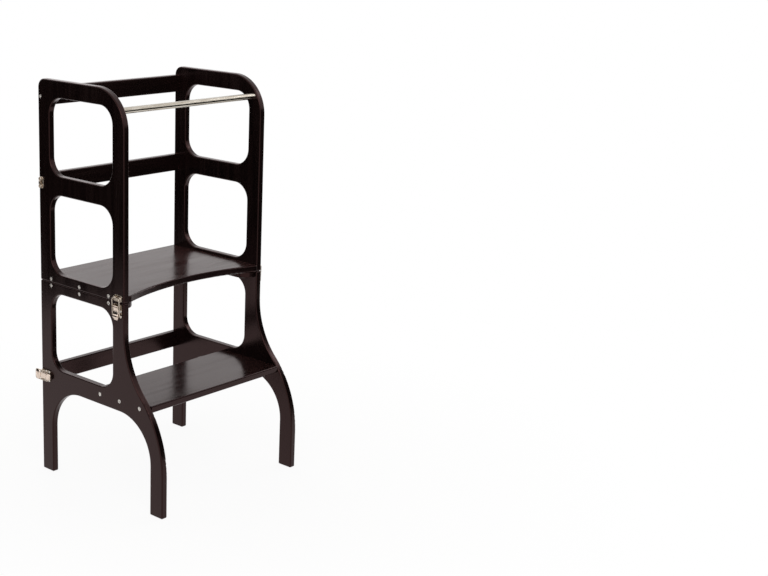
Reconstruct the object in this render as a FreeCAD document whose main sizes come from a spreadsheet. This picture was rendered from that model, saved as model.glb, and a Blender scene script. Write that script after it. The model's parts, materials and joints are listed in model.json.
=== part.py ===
import FreeCAD, Part
import math
import os

import Sketcher
from FreeCAD import Placement, Rotation, Vector

# Toddler kitchen helper stool: a plywood tower that folds at mid-height into a desk with a seat.
# Millimetres, +Z up. X runs across the width and is 0 in the middle, Y runs from the front feet to
# the back, and Z is 0 on the floor. The origin is the bottom centre of the box that holds the closed
# tower with its latches.

DRIVING = {
    # outside sizes
    "width": 430, "foot_depth": 404, "height": 910, "upper_depth": 281.5,
    # boards
    "board": 15, "edge_round": 2.5, "corner_round": 3, "seam_gap": 0.5,
    # lower side panels
    "back_leg": 37, "front_leg": 38.5, "arch_top": 209.5, "arch_corner": 98,
    "hollow_radius": 189, "swell_radius": 231, "swell_foot": 92,
    # bands of board round the windows in the side panels
    "side_band": 37, "seam_band": 22.5, "rail_band": 43, "top_band": 38, "window_corner": 40,
    "crown_front": 88, "crown_back": 20,
    # rails
    "rail_height": 40, "rail_drop": 20, "rail_screw": 7.5,
    # platforms
    "bow_flat": 6, "bow_rise": 36, "bow_blend": 12, "belly_back": 117, "belly_corner": 68,
    "ear_width": 32, "ear_round": 31, "ear_setback": 8,
    "platform_screw_back": 37, "platform_screw_front": 50,
    # step
    "step_top": 240, "step_depth": 176.5, "step_inset": 49.5, "step_screw_inset": 24,
    # handrail
    "tube_radius": 7, "tube_wall": 1.2, "tube_inset": 22.5, "tube_drop": 46, "tube_seat": 8,
    # screws
    "bolt_head": 4.4, "bolt_head_height": 3, "bolt_shank": 2.5, "bolt_length": 36, "bolt_sunk": 0.3,
    "bolt_socket": 2.3, "bolt_socket_depth": 2.2,
    "dome_head": 2.8, "dome_head_height": 1.5, "dome_round": 1.2, "dome_shank": 1.3, "dome_length": 9.5,
    "dome_socket": 1.1, "dome_socket_depth": 0.8,
    "flush_head": 2.7, "flush_head_height": 1.3, "flush_shank": 1.2, "flush_length": 10,
    "flush_socket": 1.1, "flush_socket_depth": 0.7,
    "screw_clearance": 0.1,
    # fold hinges
    "hinge_back": 1.5, "hinge_inset": 33, "leaf_width": 23, "leaf_length": 23, "leaf_plate": 1.8,
    "knuckle_radius": 2.4, "knuckle_width": 9, "knuckle_clearance": 0.3, "pin_radius": 1.2,
    "running_clearance": 0.05, "seat_clearance": 0.01, "leaf_clearance": 0.1, "barrel_clearance": 0.4,
    "leaf_screw_side": 5.5, "leaf_screw_inset": 11,
    # toggle latches: u runs towards the keeper, v across, w away from the panel
    "front_latch_inset": 18.5,
    "latch_plate": 1.5, "latch_half": 13, "base_near": 3, "base_far": 33, "base_round": 3,
    "cheek_near": 4, "cheek_far": 14, "cheek_top": 9, "cheek_out": 9.8, "cheek_in": 8.3,
    "pivot_back": 9, "pivot_rise": 5.5, "pivot_radius": 1.5,
    "lever_half": 8, "lever_far": 38, "lever_low": 3.5, "lever_high": 7.2, "lever_boss": 3.6,
    "bump_near": 24.5, "bump_far": 33.5, "bump_top": 10.5, "bump_round": 4.3, "lever_end": 1.6,
    "lever_blend": 3,
    "wire_radius": 1.1, "bail_half": 11.3, "bail_back": 28, "bail_rise": 5.8, "bail_reach": 11,
    "bail_lift": 7.5, "bail_corner": 5, "bail_bend": 1.7, "bail_stub": 4,
    "base_screw_side": 10, "base_screw_near": 18, "base_screw_far": 29.5,
    "keeper_near": 2, "keeper_far": 17, "keeper_round": 5, "keeper_screw_side": 8, "keeper_screw": 9.5,
    "hook_near": 5, "hook_far": 11, "hook_top": 6, "hook_half": 4, "hook_wall": 3, "hook_lip": 1.8,
    "hook_round": 2.4,
}


class Size:
    """A length that keeps its number together with the sheet expression it comes from."""

    def __init__(self, number, text):
        self.number = float(number)
        self.text = text

    def join(self, other, sign, number):
        text = other.text if isinstance(other, Size) else repr(other)
        return Size(number, "(%s %s %s)" % (self.text, sign, text))

    def __add__(self, other):
        return self.join(other, "+", self.number + plain(other))

    def __sub__(self, other):
        return self.join(other, "-", self.number - plain(other))

    def __mul__(self, other):
        return self.join(other, "*", self.number * plain(other))

    def __truediv__(self, other):
        return self.join(other, "/", self.number / plain(other))

    def __neg__(self):
        return Size(-self.number, "(-%s)" % self.text)


def plain(value):
    """The number of a Size or of a plain number."""
    return value.number if isinstance(value, Size) else value


def make_sheet(doc):
    """Writes the driving sizes into the sheet and returns them by name."""
    sheet = doc.addObject("Spreadsheet::Sheet", "dims")
    sizes = {}
    for row, (name, number) in enumerate(DRIVING.items(), start=1):
        sheet.set("A%d" % row, name)
        sheet.set("B%d" % row, str(number))
        sheet.setAlias("B%d" % row, name)
        sizes[name] = Size(number, "dims." + name)
    doc.recompute()
    return sizes


doc = FreeCAD.newDocument("helper_stool")
d = make_sheet(doc)

# Places worked out from the driving sizes.
ZERO = Size(0, "0")
OVERHANG = d["hinge_back"] + d["bail_reach"] + d["wire_radius"]
BACK = (d["foot_depth"] - OVERHANG) / 2
FRONT = BACK - d["foot_depth"]
OUTSIDE = d["width"] / 2
INSIDE = OUTSIDE - d["board"]
SEAM = d["height"] / 2
LOWER_TOP = SEAM - d["seam_gap"] / 2
UPPER_FOOT = SEAM + d["seam_gap"] / 2
UPPER_FRONT = BACK - d["upper_depth"]
HINGE_Y = BACK + d["hinge_back"]
HINGE_X = INSIDE - d["hinge_inset"]
LOW_RAIL_PLACE = d["arch_top"] + d["rail_band"] / 2
MID_RAIL_PLACE = d["height"] - LOW_RAIL_PLACE
TOP_RAIL_PLACE = d["height"] - d["rail_drop"] - d["rail_height"] / 2
STEP_FRONT = FRONT + d["step_inset"]
STEP_BACK = STEP_FRONT + d["step_depth"]
TUBE_Y = UPPER_FRONT + d["tube_inset"]
TUBE_Z = d["height"] - d["tube_drop"]
FRONT_LATCH_Y = UPPER_FRONT + d["front_latch_inset"]


# Sketch helpers ------------------------------------------------------------------------------

def new_body(name):
    """An empty body with its origin planes."""
    body = doc.addObject("PartDesign::Body", name)
    doc.recompute()
    return body


def new_sketch(body, plane, name, offset=None):
    """A sketch on one of the body's origin planes, moved along the plane's normal by offset."""
    sketch = body.newObject("Sketcher::SketchObject", name)
    support = [part for part in body.Origin.OriginFeatures if part.Role == plane][0]
    sketch.AttachmentSupport = [(support, "")]
    sketch.MapMode = "FlatFace"
    if offset is not None:
        sketch.setExpression("AttachmentOffset.Base.z", offset.text)
    return sketch


def hold(sketch, kind, items, size):
    """Adds a dimension to the sketch and binds it to the sheet."""
    index = sketch.addConstraint(Sketcher.Constraint(kind, *items, size.number))
    sketch.setExpression("Constraints[%d]" % index, size.text)


def hold_place(sketch, axis, line, point, place):
    """Holds a point of a line at a distance from the sketch's own origin."""
    if abs(place.number) < 1e-9:
        rule = Sketcher.Constraint("PointOnObject", line, point, -2 if axis == "x" else -1)
        sketch.addConstraint(rule)
    else:
        hold(sketch, "DistanceX" if axis == "x" else "DistanceY", (-1, 1, line, point), place)


def draw_arc(sketch, centre, radius, start, end):
    """A counter-clockwise arc between two angles in radians; returns its number."""
    circle = Part.Circle(Vector(centre[0], centre[1], 0), Vector(0, 0, 1), radius)
    return sketch.addGeometry(Part.ArcOfCircle(circle, start, end))


def draw_line(sketch, start, end):
    """A line between two points; returns its number."""
    return sketch.addGeometry(Part.LineSegment(Vector(*start, 0), Vector(*end, 0)))


def draw_circle(sketch, x, y, radius):
    """A circle held by its centre and radius."""
    centre = Vector(x.number, y.number, 0)
    circle = sketch.addGeometry(Part.Circle(centre, Vector(0, 0, 1), radius.number))
    hold_place(sketch, "x", circle, 3, x)
    hold_place(sketch, "y", circle, 3, y)
    hold(sketch, "Radius", (circle,), radius)


def draw_outline(sketch, sides):
    """A closed outline of upright and level sides.

    Each side is (axis, place) or (axis, place, corner): an upright side has axis "x" and lies at
    that x, a level side has axis "y", and corner is the radius where it meets the next side.
    """
    count = len(sides)
    places = [side[1] for side in sides]
    radii = [side[2] if len(side) > 2 else None for side in sides]
    corners = []
    for i in range(count):
        here, after = places[i].number, places[(i + 1) % count].number
        corners.append((here, after) if sides[i][0] == "x" else (after, here))
    steps = []
    for i in range(count):
        reach = (corners[i][0] - corners[i - 1][0], corners[i][1] - corners[i - 1][1])
        length = math.hypot(*reach)
        steps.append((reach[0] / length, reach[1] / length))
    lines = []
    for i in range(count):
        before = radii[i - 1].number if radii[i - 1] else 0
        ahead = radii[i].number if radii[i] else 0
        start = [corners[i - 1][k] + before * steps[i][k] for k in (0, 1)]
        end = [corners[i][k] - ahead * steps[i][k] for k in (0, 1)]
        lines.append(draw_line(sketch, start, end))
    for i, side in enumerate(sides):
        sketch.addConstraint(Sketcher.Constraint("Vertical" if side[0] == "x" else "Horizontal", lines[i]))
        hold_place(sketch, side[0], lines[i], 1, side[1])
    for i in range(count):
        after = (i + 1) % count
        if radii[i] is None:
            sketch.addConstraint(Sketcher.Constraint("Coincident", lines[i], 2, lines[after], 1))
            continue
        radius = radii[i].number
        centre = [corners[i][k] - radius * steps[i][k] + radius * steps[after][k] for k in (0, 1)]
        left_turn = steps[i][0] * steps[after][1] - steps[i][1] * steps[after][0] > 0
        leave = math.atan2(-steps[after][1], -steps[after][0])
        arrive = math.atan2(steps[i][1], steps[i][0])
        if left_turn:
            arc = draw_arc(sketch, centre, radius, leave, leave + math.pi / 2)
            ends = (1, 2)
        else:
            arc = draw_arc(sketch, centre, radius, arrive, arrive + math.pi / 2)
            ends = (2, 1)
        sketch.addConstraint(Sketcher.Constraint("Tangent", lines[i], 2, arc, ends[0]))
        sketch.addConstraint(Sketcher.Constraint("Tangent", arc, ends[1], lines[after], 1))
        hold(sketch, "Radius", (arc,), radii[i])


def extrude(body, kind, name, sketch, length, symmetric):
    """A pad or pocket of the sketch, to one side or to both sides of its plane."""
    step = body.newObject("PartDesign::" + kind, name)
    step.Profile = sketch
    step.setExpression("Length", length.text)
    step.SideType = "Symmetric" if symmetric else "One side"
    body.Tip = step
    doc.recompute()


def add(body, plane, name, draw, length, offset=None, symmetric=False):
    """Draws a sketch with the function draw and pads it."""
    sketch = new_sketch(body, plane, name + "_sketch", offset)
    draw(sketch)
    extrude(body, "Pad", name, sketch, length, symmetric)


def cut(body, plane, name, draw, length, offset=None, symmetric=False):
    """Draws a sketch with the function draw and pockets it; stops if nothing was cut."""
    before = body.Shape.Volume
    sketch = new_sketch(body, plane, name + "_sketch", offset)
    draw(sketch)
    extrude(body, "Pocket", name, sketch, length, symmetric)
    if body.Shape.Volume >= before:
        raise RuntimeError("%s cut nothing" % name)


def soften(body, name, radius, chosen):
    """Rounds the edges for which chosen(edge) is true."""
    base = body.Tip
    names = []
    for number, edge in enumerate(base.Shape.Edges, start=1):
        if chosen(edge):
            names.append("Edge%d" % number)
    if not names:
        raise RuntimeError("%s found no edges" % name)
    fillet = body.newObject("PartDesign::Fillet", name)
    fillet.Base = (base, names)
    fillet.setExpression("Radius", radius.text)
    body.Tip = fillet
    doc.recompute()


def flat_in(edge, axis, place):
    """True for an edge that lies wholly at that place along the axis, 0 for X, 1 for Y, 2 for Z."""
    box = edge.BoundBox
    low = (box.XMin, box.YMin, box.ZMin)[axis]
    high = (box.XMax, box.YMax, box.ZMax)[axis]
    return abs(low - place) < 1e-4 and abs(high - place) < 1e-4


def along_x(edge, z):
    """True for an edge that runs across the width at height z."""
    box = edge.BoundBox
    return flat_in(edge, 2, z) and box.YLength < 1e-4


# Placement helpers ---------------------------------------------------------------------------

def facing(u, w, origin):
    """The placement that turns local x to u and local z to w, and moves the origin."""
    turn = Rotation(Vector(*u), Vector(*w).cross(Vector(*u)), Vector(*w), "XZY")
    return Placement(Vector(*origin), turn)


def copies(shape, places):
    """One shape repeated at every place, as a compound of separate solids."""
    solids = []
    for place in places:
        solid = shape.copy()
        solid.Placement = place.multiply(solid.Placement)
        solids.append(solid)
    return Part.makeCompound(solids)


def feature(name, shape):
    """A document object that holds a shape made by Part's own functions."""
    item = doc.addObject("Part::Feature", name)
    item.Shape = shape
    return item


def drilled(name, body, cutters):
    """The board or plate with the holes of its screws and its seats cut out."""
    tool = feature(name + "_cutters", Part.makeCompound(cutters))
    piece = doc.addObject("Part::Cut", name + "_drilled")
    piece.Base = body
    piece.Tool = tool
    return piece


PARTS = {}


def keep(name, item):
    """Marks a document object as the sub-part of that name."""
    item.Label = name
    PARTS[name] = item
    return item


# Screws --------------------------------------------------------------------------------------

def screw(name, kind, extra=None):
    """A screw along Z with the underside of its head at 0; with extra, the hole it needs.

    The hole goes on past the top of the head, through the board or plate that the head lies in.
    """
    grow = extra if extra is not None else ZERO
    head = d[kind + "_head"] + grow
    height = d[kind + "_head_height"] if extra is None else d[kind + "_head_height"] + d["board"]
    shank = d[kind + "_shank"] + grow
    rounded = kind == "dome" and extra is None
    body = new_body(name)
    sketch = new_sketch(body, "XZ_Plane", name + "_profile")
    draw_outline(sketch, [
        ("x", ZERO), ("y", -(d[kind + "_length"] + grow)), ("x", shank), ("y", ZERO),
        ("x", head, d["dome_round"] if rounded else None), ("y", height)])
    turned = body.newObject("PartDesign::Revolution", name + "_turned")
    turned.Profile = sketch
    turned.ReferenceAxis = (sketch, ["V_Axis"])
    turned.Angle = 360
    body.Tip = turned
    doc.recompute()
    if extra is None:
        socket = body.newObject("PartDesign::SubtractivePrism", name + "_socket")
        socket.Polygon = 6
        socket.setExpression("Circumradius", d[kind + "_socket"].text)
        socket.setExpression("Height", d[kind + "_socket_depth"].text)
        socket.setExpression("Placement.Base.z", (height - d[kind + "_socket_depth"]).text)
        body.Tip = socket
        doc.recompute()
    return body


def countersunk(name, extra=None):
    """A flush-headed screw along Z with its top at 0; with extra, the hole it needs."""
    grow = extra if extra is not None else ZERO
    head = doc.addObject("Part::Cone", name + "_head")
    head.setExpression("Radius1", (d["flush_shank"] + grow).text)
    head.setExpression("Radius2", (d["flush_head"] + grow).text)
    head.setExpression("Height", d["flush_head_height"].text)
    head.setExpression("Placement.Base.z", (-d["flush_head_height"]).text)
    shank = doc.addObject("Part::Cylinder", name + "_shank")
    shank.setExpression("Radius", (d["flush_shank"] + grow).text)
    shank.setExpression("Height", (d["flush_length"] - d["flush_head_height"] + grow).text)
    shank.setExpression("Placement.Base.z", (-(d["flush_length"] + grow)).text)
    whole = doc.addObject("Part::Fuse", name + "_whole")
    whole.Base = head
    whole.Tool = shank
    if extra is None:
        socket = doc.addObject("Part::Prism", name + "_socket")
        socket.Polygon = 6
        socket.setExpression("Circumradius", d["flush_socket"].text)
        socket.setExpression("Height", (d["flush_socket_depth"] * 2).text)
        socket.setExpression("Placement.Base.z", (-d["flush_socket_depth"]).text)
        screw_item = doc.addObject("Part::Cut", name)
        screw_item.Base = whole
        screw_item.Tool = socket
        whole = screw_item
    doc.recompute()
    return whole


BOLT = screw("bolt", "bolt")
BOLT_HOLE = screw("bolt_hole", "bolt", d["screw_clearance"])
DOME = screw("dome", "dome")
DOME_HOLE = screw("dome_hole", "dome", d["screw_clearance"])
FLUSH = countersunk("flush")
FLUSH_HOLE = countersunk("flush_hole", d["screw_clearance"])


def bolt_places(sides, spots, z):
    """Where bolts go through the side panels, at places along Y."""
    under_head = OUTSIDE.number - d["bolt_sunk"].number - d["bolt_head_height"].number
    places = []
    for side in sides:
        for spot in spots:
            places.append(facing((0, 0, 1), (side, 0, 0), (side * under_head, spot.number, z.number)))
    return places


def three_between(first, last):
    """Two places and the one half way between them."""
    return [first, (first + last) / 2, last]


PLATFORM_SPOTS = three_between(BACK - d["platform_screw_back"], UPPER_FRONT + d["platform_screw_front"])
STEP_SPOTS = three_between(STEP_BACK - d["step_screw_inset"], STEP_FRONT + d["step_screw_inset"])
RAIL_SPOTS = [BACK - d["rail_screw"]]
BOLTS = {
    "lower_platform_screws": (PLATFORM_SPOTS, LOWER_TOP - d["board"] / 2),
    "step_screws": (STEP_SPOTS, d["step_top"] - d["board"] / 2),
    "lower_rail_screws": (RAIL_SPOTS, LOW_RAIL_PLACE),
    "upper_platform_screws": (PLATFORM_SPOTS, UPPER_FOOT + d["board"] / 2),
    "mid_rail_screws": (RAIL_SPOTS, MID_RAIL_PLACE),
    "top_rail_screws": (RAIL_SPOTS, TOP_RAIL_PLACE),
}
LOWER_BOLTS = ("lower_platform_screws", "step_screws", "lower_rail_screws")
UPPER_BOLTS = ("upper_platform_screws", "mid_rail_screws", "top_rail_screws")


def bolt_holes(group, sides=(-1, 1)):
    """The holes of one group of bolts."""
    spots, z = BOLTS[group]
    return copies(BOLT_HOLE.Shape, bolt_places(sides, spots, z))


def make_bolts():
    """Every group of bolts as one node."""
    for group, (spots, z) in BOLTS.items():
        keep(group, feature(group, copies(BOLT.Shape, bolt_places((-1, 1), spots, z))))


# Latches: local x is u, local y is v and local z is w -----------------------------------------

SIDES = {"left": -1, "right": 1}


def latch_place(spot, side):
    """Where a latch lies: at the front it points up, at the back it points past the back edge."""
    out = (side, 0, 0)
    if spot == "front":
        origin = (side * OUTSIDE.number, FRONT_LATCH_Y.number, SEAM.number)
        return facing((0, 0, 1), out, origin)
    origin = (side * OUTSIDE.number, HINGE_Y.number, LOW_RAIL_PLACE.number)
    return facing((0, 1, 0), out, origin)


def keeper_place(spot, side):
    """Where a keeper lies on the upper panels: the place that meets the latch, unfolded."""
    if spot == "front":
        return latch_place(spot, side)
    origin = (side * OUTSIDE.number, HINGE_Y.number, MID_RAIL_PLACE.number)
    return facing((0, -1, 0), (side, 0, 0), origin)


def base_screw_places(spot, side):
    """The four screws of a latch base."""
    here = latch_place(spot, side)
    places = []
    for u in (d["base_screw_near"], d["base_screw_far"]):
        for across in (-1, 1):
            local = Vector(-u.number, across * d["base_screw_side"].number, d["latch_plate"].number)
            places.append(here.multiply(Placement(local, Rotation())))
    return places


def keeper_screw_places(spot, side):
    """The two screws of a keeper."""
    here = keeper_place(spot, side)
    places = []
    for across in (-1, 1):
        aside = across * d["keeper_screw_side"].number
        local = Vector(d["keeper_screw"].number, aside, d["latch_plate"].number)
        places.append(here.multiply(Placement(local, Rotation())))
    return places


def latch_base():
    """The base plate with its two cheeks and the bore of the pivot pin."""
    body = new_body("latch_base_shape")
    plate_round = d["base_round"]
    add(body, "XY_Plane", "base_plate", lambda sketch: draw_outline(sketch, [
        ("x", -d["base_near"], plate_round), ("y", d["latch_half"], plate_round),
        ("x", -d["base_far"], plate_round), ("y", -d["latch_half"], plate_round)]), d["latch_plate"])
    add(body, "XZ_Plane", "cheek_block", lambda sketch: draw_outline(sketch, [
        ("x", -d["cheek_near"]), ("y", ZERO), ("x", -d["cheek_far"], d["cheek_top"] / 2),
        ("y", d["cheek_top"], d["cheek_top"] / 2)]), d["cheek_out"] * 2, symmetric=True)
    cut(body, "XZ_Plane", "cheek_slot", lambda sketch: draw_outline(sketch, [
        ("x", -d["cheek_near"] + 1), ("y", d["latch_plate"]), ("x", -d["cheek_far"] - 1),
        ("y", d["cheek_top"] + 1)]), d["cheek_in"] * 2, symmetric=True)
    cut(body, "XZ_Plane", "pivot_bore", lambda sketch: draw_circle(
        sketch, -d["pivot_back"], d["pivot_rise"], d["pivot_radius"] + d["seat_clearance"]),
        d["latch_half"] * 2, symmetric=True)
    return body


def latch_lever():
    """The lever: a flat bar with a boss round the pivot pin and a raised finger bump."""
    body = new_body("latch_lever_shape")
    thick = d["lever_half"] * 2
    add(body, "XZ_Plane", "lever_bar", lambda sketch: draw_outline(sketch, [
        ("x", -d["pivot_back"]), ("y", d["lever_low"]), ("x", -d["lever_far"], d["lever_end"]),
        ("y", d["lever_high"])]), thick, symmetric=True)
    add(body, "XZ_Plane", "lever_boss_pad", lambda sketch: draw_circle(
        sketch, -d["pivot_back"], d["pivot_rise"], d["lever_boss"]), thick, symmetric=True)
    add(body, "XZ_Plane", "lever_bump", lambda sketch: draw_outline(sketch, [
        ("x", -d["bump_near"]), ("y", d["lever_low"] + 1), ("x", -d["bump_far"], d["bump_round"]),
        ("y", d["bump_top"], d["bump_round"])]), thick, symmetric=True)
    high = d["lever_high"].number
    soften(body, "lever_waves", d["lever_blend"],
           lambda edge: flat_in(edge, 2, high) and edge.BoundBox.XLength < 1e-4)
    bore = d["running_clearance"]
    cut(body, "XZ_Plane", "lever_bore", lambda sketch: draw_circle(
        sketch, -d["pivot_back"], d["pivot_rise"], d["pivot_radius"] + bore), thick * 2, symmetric=True)
    cut(body, "XZ_Plane", "bail_bore", lambda sketch: draw_circle(
        sketch, -d["bail_back"], d["bail_rise"], d["wire_radius"] + bore), thick * 2, symmetric=True)
    return body


def bail():
    """The wire bail: a closed U whose ends turn in to its bores; local x runs along its arms."""
    body = new_body("bail_shape")
    reach = math.hypot(d["bail_reach"].number + d["bail_back"].number,
                       d["bail_lift"].number - d["bail_rise"].number)
    half = d["bail_half"].number
    bend = d["bail_bend"].number
    corner = d["bail_corner"].number
    stub = d["bail_stub"].number
    path = new_sketch(body, "XY_Plane", "bail_path")
    runs = [
        draw_line(path, (0, -stub), (0, -half + bend)),
        draw_line(path, (bend, -half), (reach - corner, -half)),
        draw_line(path, (reach, -half + corner), (reach, half - corner)),
        draw_line(path, (reach - corner, half), (bend, half)),
        draw_line(path, (0, half - bend), (0, stub)),
    ]
    quarter = math.pi / 2
    bends = [
        draw_arc(path, (bend, -half + bend), bend, 2 * quarter, 3 * quarter),
        draw_arc(path, (reach - corner, -half + corner), corner, 3 * quarter, 4 * quarter),
        draw_arc(path, (reach - corner, half - corner), corner, 0, quarter),
        draw_arc(path, (bend, half - bend), bend, quarter, 2 * quarter),
    ]
    for index, arc in enumerate(bends):
        path.addConstraint(Sketcher.Constraint("Tangent", runs[index], 2, arc, 1))
        path.addConstraint(Sketcher.Constraint("Tangent", arc, 2, runs[index + 1], 1))
    for line, rule in zip(runs, ("Vertical", "Horizontal", "Vertical", "Horizontal", "Vertical")):
        path.addConstraint(Sketcher.Constraint(rule, line))
    hold(path, "DistanceY", (-1, 1, runs[0], 1), -d["bail_stub"])
    hold(path, "DistanceY", (-1, 1, runs[4], 2), d["bail_stub"])
    hold(path, "DistanceY", (-1, 1, runs[1], 1), -d["bail_half"])
    hold(path, "DistanceY", (-1, 1, runs[3], 1), d["bail_half"])
    hold_place(path, "x", runs[0], 1, ZERO)
    hold_place(path, "x", runs[4], 1, ZERO)
    hold(path, "Radius", (bends[0],), d["bail_bend"])
    hold(path, "Radius", (bends[3],), d["bail_bend"])
    hold(path, "Radius", (bends[1],), d["bail_corner"])
    hold(path, "Radius", (bends[2],), d["bail_corner"])
    run = d["bail_reach"] + d["bail_back"]
    climb = d["bail_lift"] - d["bail_rise"]
    length = Size(reach, "sqrt(%s ^ 2 + %s ^ 2)" % (run.text, climb.text))
    hold(path, "DistanceX", (-1, 1, runs[2], 1), length)
    ring = new_sketch(body, "XZ_Plane", "bail_ring", d["bail_stub"])
    draw_circle(ring, ZERO, ZERO, d["wire_radius"])
    wire = body.newObject("PartDesign::AdditivePipe", "bail_wire")
    doc.recompute()
    wire.Profile = ring
    wire.Spine = (path, ["Edge%d" % number for number in range(1, 10)])
    body.Tip = wire
    doc.recompute()
    return body


def keeper():
    """The keeper: a rounded plate with a hook in its middle that the bail's crossbar catches."""
    body = new_body("keeper_shape")
    add(body, "XY_Plane", "keeper_plate", lambda sketch: draw_outline(sketch, [
        ("x", d["keeper_far"], d["keeper_round"]), ("y", d["latch_half"], d["keeper_round"]),
        ("x", d["keeper_near"], d["keeper_round"]), ("y", -d["latch_half"], d["keeper_round"])]),
        d["latch_plate"])
    add(body, "XZ_Plane", "hook_block", lambda sketch: draw_outline(sketch, [
        ("x", d["hook_far"]), ("y", ZERO), ("x", d["hook_near"], d["hook_round"]),
        ("y", d["hook_top"])]), d["hook_half"] * 2, symmetric=True)
    cut(body, "XZ_Plane", "hook_throat", lambda sketch: draw_outline(sketch, [
        ("x", d["hook_far"] + 1), ("y", d["latch_plate"]), ("x", d["hook_near"] + d["hook_wall"]),
        ("y", d["hook_top"] - d["hook_lip"])]), d["hook_half"] * 2 + 1, symmetric=True)
    return body


def placed_body(name, master, place):
    """A copy of a master's shape, put at its place."""
    piece = feature(name, master.Shape.copy())
    piece.Placement = place
    return piece


def make_latches():
    """The four latches: bases, pins, levers, bails, keepers and their screws."""
    base_master = latch_base()
    lever_master = latch_lever()
    bail_master = bail()
    keeper_master = keeper()
    run = d["bail_reach"].number + d["bail_back"].number
    tilt = math.degrees(math.atan2(d["bail_lift"].number - d["bail_rise"].number, run))
    base_screws = []
    keeper_screws = []
    for spot in ("front", "back"):
        for side_name, side in SIDES.items():
            here = latch_place(spot, side)
            ending = "_%s_%s" % (spot, side_name)
            screws = base_screw_places(spot, side)
            base = placed_body("base" + ending, base_master, here)
            keep("latch_base" + ending, drilled("base" + ending, base, [copies(DOME_HOLE.Shape, screws)]))
            base_screws += screws
            pin = doc.addObject("Part::Cylinder", "pin" + ending)
            pin.setExpression("Radius", d["pivot_radius"].text)
            pin.setExpression("Height", (d["cheek_out"] * 2).text)
            start = Vector(-d["pivot_back"].number, d["cheek_out"].number, d["pivot_rise"].number)
            pin.Placement = here.multiply(Placement(start, Rotation(Vector(1, 0, 0), 90)))
            keep("latch_pin" + ending, pin)
            keep("latch_lever" + ending, placed_body("lever" + ending, lever_master, here))
            start = Vector(-d["bail_back"].number, 0, d["bail_rise"].number)
            local = Placement(start, Rotation(Vector(0, 1, 0), -tilt))
            keep("latch_bail" + ending, placed_body("bail" + ending, bail_master, here.multiply(local)))
            there = keeper_place(spot, side)
            screws = keeper_screw_places(spot, side)
            plate = placed_body("keeper_plate" + ending, keeper_master, there)
            keep("latch_keeper" + ending,
                 drilled("keeper" + ending, plate, [copies(DOME_HOLE.Shape, screws)]))
            keeper_screws += screws
    keep("latch_base_screws", feature("base_screws", copies(DOME.Shape, base_screws)))
    keep("keeper_screws", feature("keeper_screws_group", copies(DOME.Shape, keeper_screws)))


# Fold hinges ---------------------------------------------------------------------------------

def leaf_outline(sketch, grow):
    """A leaf's plate: straight at the barrel, round at its other end."""
    half = d["leaf_width"] / 2 + grow
    corner = half * 0.99
    draw_outline(sketch, [
        ("y", BACK - d["leaf_length"] - grow, corner), ("x", half), ("y", HINGE_Y), ("x", -half, corner)])


def leaf(name, upper):
    """One leaf of a hinge: the lower leaf has the two outer knuckles, the upper the middle one."""
    body = new_body(name)
    foot = UPPER_FOOT if upper else LOWER_TOP - d["leaf_plate"]
    whole = d["leaf_width"]
    middle = d["knuckle_width"]
    wide = d["knuckle_radius"] + d["knuckle_clearance"]
    add(body, "XY_Plane", name + "_plate", lambda sketch: leaf_outline(sketch, ZERO),
        d["leaf_plate"], offset=foot)

    def knuckle(sketch):
        draw_circle(sketch, HINGE_Y, SEAM, d["knuckle_radius"])

    def clear(sketch):
        draw_circle(sketch, HINGE_Y, SEAM, wide)

    def web(sketch):
        draw_outline(sketch, [("x", BACK - wide), ("y", foot), ("x", HINGE_Y), ("y", foot + d["leaf_plate"])])

    if upper:
        cut(body, "YZ_Plane", name + "_clear", clear, whole + 1, symmetric=True)
        add(body, "YZ_Plane", name + "_web", web, middle, symmetric=True)
        add(body, "YZ_Plane", name + "_knuckle", knuckle, middle, symmetric=True)
    else:
        add(body, "YZ_Plane", name + "_knuckle", knuckle, whole, symmetric=True)
        cut(body, "YZ_Plane", name + "_clear", clear,
            middle + d["knuckle_clearance"] * 2, symmetric=True)
    fit = d["running_clearance"] if upper else d["seat_clearance"]
    cut(body, "YZ_Plane", name + "_bore", lambda sketch: draw_circle(
        sketch, HINGE_Y, SEAM, d["pin_radius"] + fit), whole + 1, symmetric=True)
    return body


def leaf_screw_places(side, upper):
    """The two countersunk screws of a leaf."""
    places = []
    for across in (-1, 1):
        x = side * HINGE_X.number + across * d["leaf_screw_side"].number
        y = (BACK - d["leaf_screw_inset"]).number
        if upper:
            places.append(facing((1, 0, 0), (0, 0, -1), (x, y, UPPER_FOOT.number)))
        else:
            places.append(facing((1, 0, 0), (0, 0, 1), (x, y, LOWER_TOP.number)))
    return places


def leaf_seats(upper):
    """What the hinges need cut out of a platform: leaf seats, barrel notches and screw holes."""
    foot = UPPER_FOOT - 1 if upper else LOWER_TOP - d["leaf_plate"] - d["leaf_clearance"]
    name = "upper_seat" if upper else "lower_seat"
    seat = new_body(name)
    add(seat, "XY_Plane", name + "_plate", lambda sketch: leaf_outline(sketch, d["leaf_clearance"]),
        d["leaf_plate"] + d["leaf_clearance"] + 1, offset=foot)
    add(seat, "YZ_Plane", name + "_notch", lambda sketch: draw_circle(
        sketch, HINGE_Y, SEAM, d["knuckle_radius"] + d["barrel_clearance"]),
        d["leaf_width"] + d["leaf_clearance"] * 2, symmetric=True)
    cutters = []
    for side in SIDES.values():
        cutters.append(copies(seat.Shape, [Placement(Vector(side * HINGE_X.number, 0, 0), Rotation())]))
        cutters.append(copies(FLUSH_HOLE.Shape, leaf_screw_places(side, upper)))
    return cutters


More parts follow.
